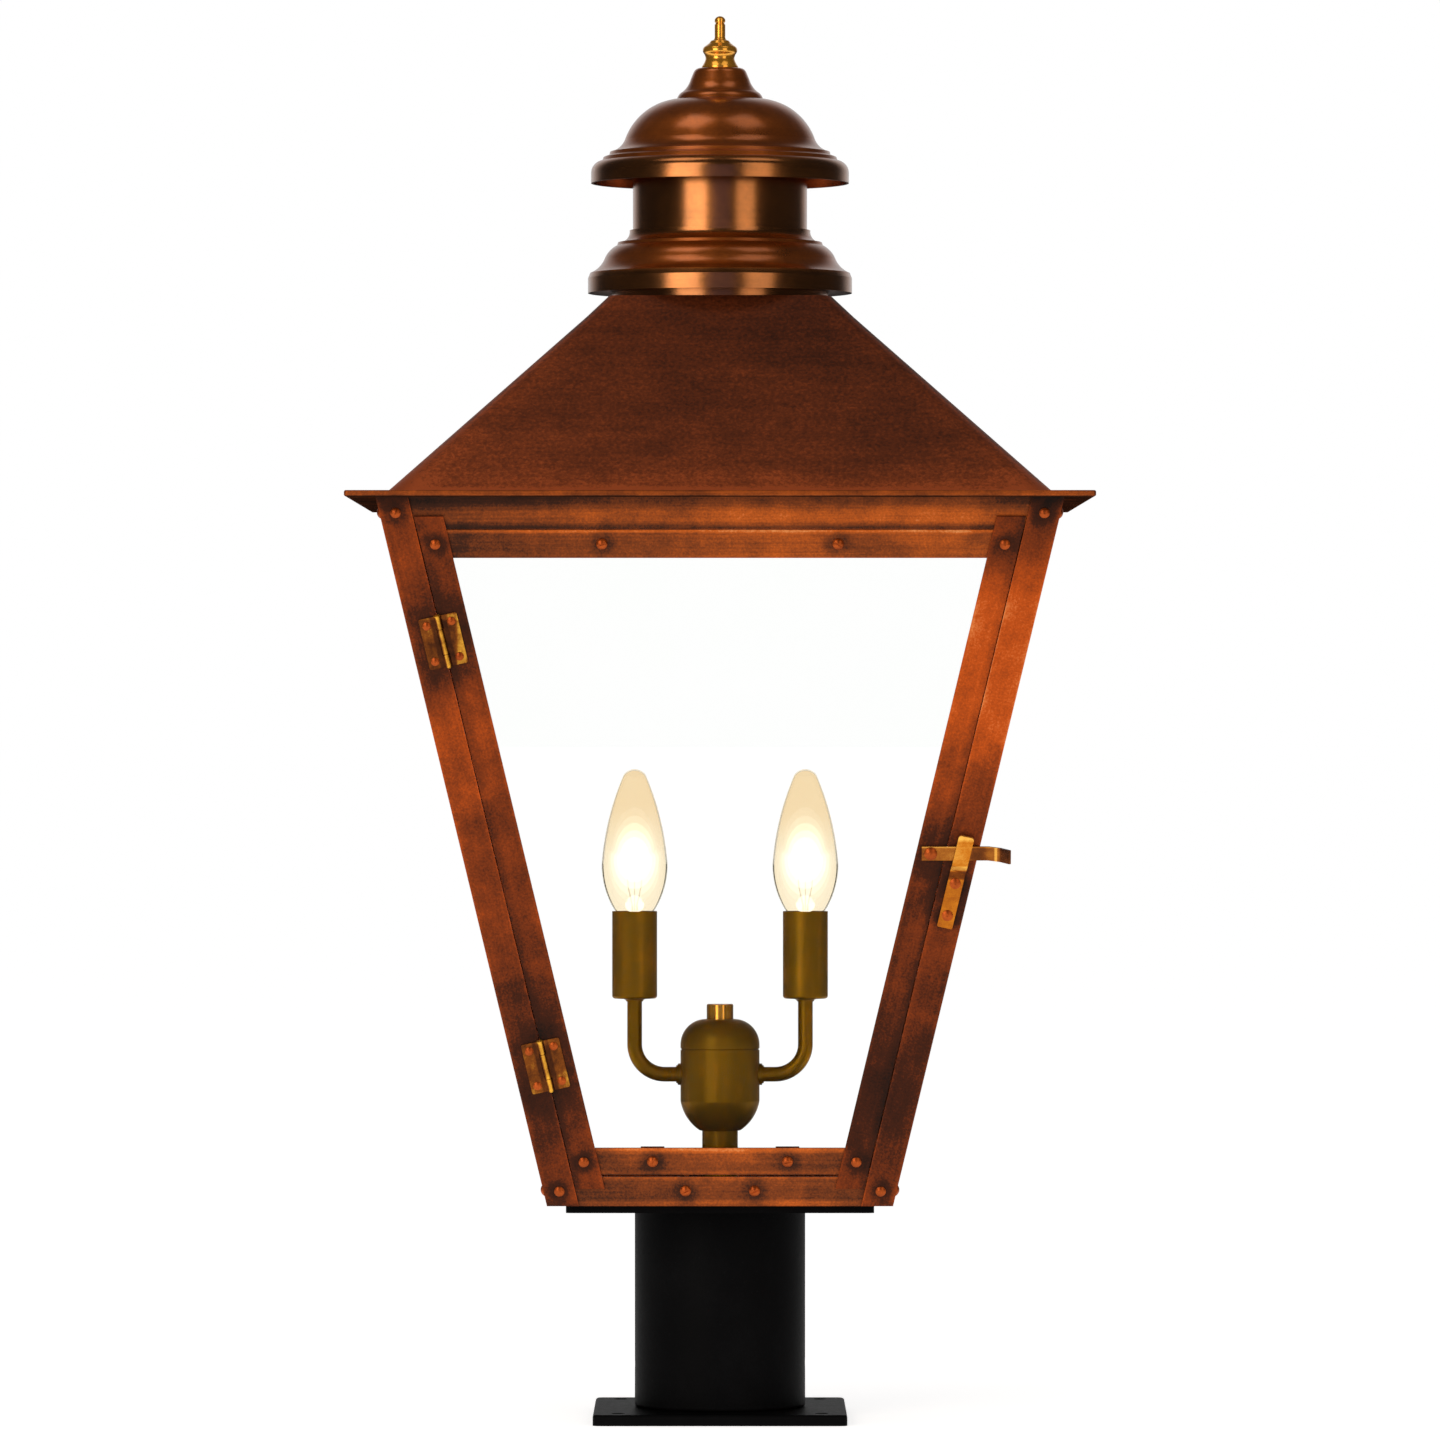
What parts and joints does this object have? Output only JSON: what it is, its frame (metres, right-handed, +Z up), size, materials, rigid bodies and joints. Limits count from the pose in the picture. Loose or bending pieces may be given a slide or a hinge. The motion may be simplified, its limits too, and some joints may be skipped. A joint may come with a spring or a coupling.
{
  "type": "post top lantern",
  "caption": "Tapered square copper lantern with a hinged glazed door, hipped roof, round chimney and cap and candle lamps, on a round sleeve that slips over a post.",
  "frame": {"origin": "middle of the base plate underside, on the post axis", "axes": "+Z up along the post, the door faces -Y, +X to the right seen from the front"},
  "size_m": [0.374, 0.374, 0.7236],
  "materials": {
    "black_casting": "satin black powder coat on cast aluminium",
    "zinc_steel": "zinc-plated steel fasteners",
    "aged_copper_frame": "oiled copper sheet, streaked brown patina",
    "dark_copper_roof": "dark red-brown patinated copper sheet",
    "bright_copper": "bright copper rivets and screws",
    "aged_brass": "aged brass butt hinges",
    "latch_brass": "rubbed brass strip",
    "polished_brass": "polished turned brass",
    "antique_brass": "antique olive-brown brass",
    "window_glass": "clear float glass",
    "bulb_glass": "clear bulb glass, lit",
    "bulb_cap": "rolled screw cap",
    "filament": "glowing filament on its glass stem",
    "socket_ceramic": "glazed lampholder"
  },
  "bodies": {
    "lantern": {"base_flange": "black_casting", "foot_ring": "black_casting", "post_sleeve": "black_casting", "top_plate": "black_casting", "set_screws": "zinc_steel", "case_screws": "zinc_steel", "cluster_locknuts": "zinc_steel", "rod_nuts": "zinc_steel", "centre_rod": "zinc_steel", "corner_post_front_left": "aged_copper_frame", "corner_post_front_right": "aged_copper_frame", "corner_post_back_left": "aged_copper_frame", "corner_post_back_right": "aged_copper_frame", "header_rails": "aged_copper_frame", "sill_rails": "aged_copper_frame", "floor_pan": "aged_copper_frame", "eave_plate": "aged_copper_frame", "pane_clips": "aged_copper_frame", "roof": "dark_copper_roof", "chimney_neck": "dark_copper_roof", "chimney_collar": "dark_copper_roof", "chimney_bridge": "dark_copper_roof", "chimney_cap": "dark_copper_roof", "finial_seat": "dark_copper_roof", "frame_rivets": "bright_copper", "sill_screws": "bright_copper", "hinge_frame_leaves": "aged_brass", "hinge_pins": "aged_brass", "keeper": "latch_brass", "finial": "polished_brass", "hub_nut": "polished_brass", "stem_pipe": "antique_brass", "hub_body": "antique_brass", "hub_cover": "antique_brass", "arm_left": "antique_brass", "arm_right": "antique_brass", "candle_cover_left": "antique_brass", "candle_cover_right": "antique_brass", "pane_left": "window_glass", "pane_right": "window_glass", "pane_back": "window_glass", "socket_left": "socket_ceramic", "socket_right": "socket_ceramic"},
    "door": {"door_stile_left": "aged_copper_frame", "door_stile_right": "aged_copper_frame", "door_rail_top": "aged_copper_frame", "door_rail_bottom": "aged_copper_frame", "door_glass": "window_glass", "door_clips": "aged_copper_frame", "door_screws": "bright_copper", "door_rivets": "bright_copper", "hinge_door_leaves": "aged_brass", "latch_pivot": "latch_brass"},
    "latch": {"latch_strap": "latch_brass"},
    "bulb_left": {"bulb_glass_left": "bulb_glass", "bulb_base_left": "bulb_cap", "filament_left": "filament"},
    "bulb_right": {"bulb_glass_right": "bulb_glass", "bulb_base_right": "bulb_cap", "filament_right": "filament"}
  },
  "joints": [
    {"name": "door_hinge", "type": "hinge", "parent": "lantern", "child": "door", "pos_m": [-0.13848, -0.15712, 0.3991], "axis": [0.2227, 0.2227, -0.9491], "range_deg": [0, 120]},
    {"name": "latch_swing", "type": "hinge", "parent": "door", "child": "latch", "pos_m": [0.10591, -0.1306, 0.29306], "axis": [0, -0.9736, -0.2284], "range_deg": [0, 75]},
    {"name": "bulb_left_out", "type": "slide", "parent": "lantern", "child": "bulb_left", "axis": [0, 0, 1], "range_m": [0, 0.03]},
    {"name": "bulb_right_out", "type": "slide", "parent": "lantern", "child": "bulb_right", "axis": [0, 0, 1], "range_m": [0, 0.03]}
  ]
}
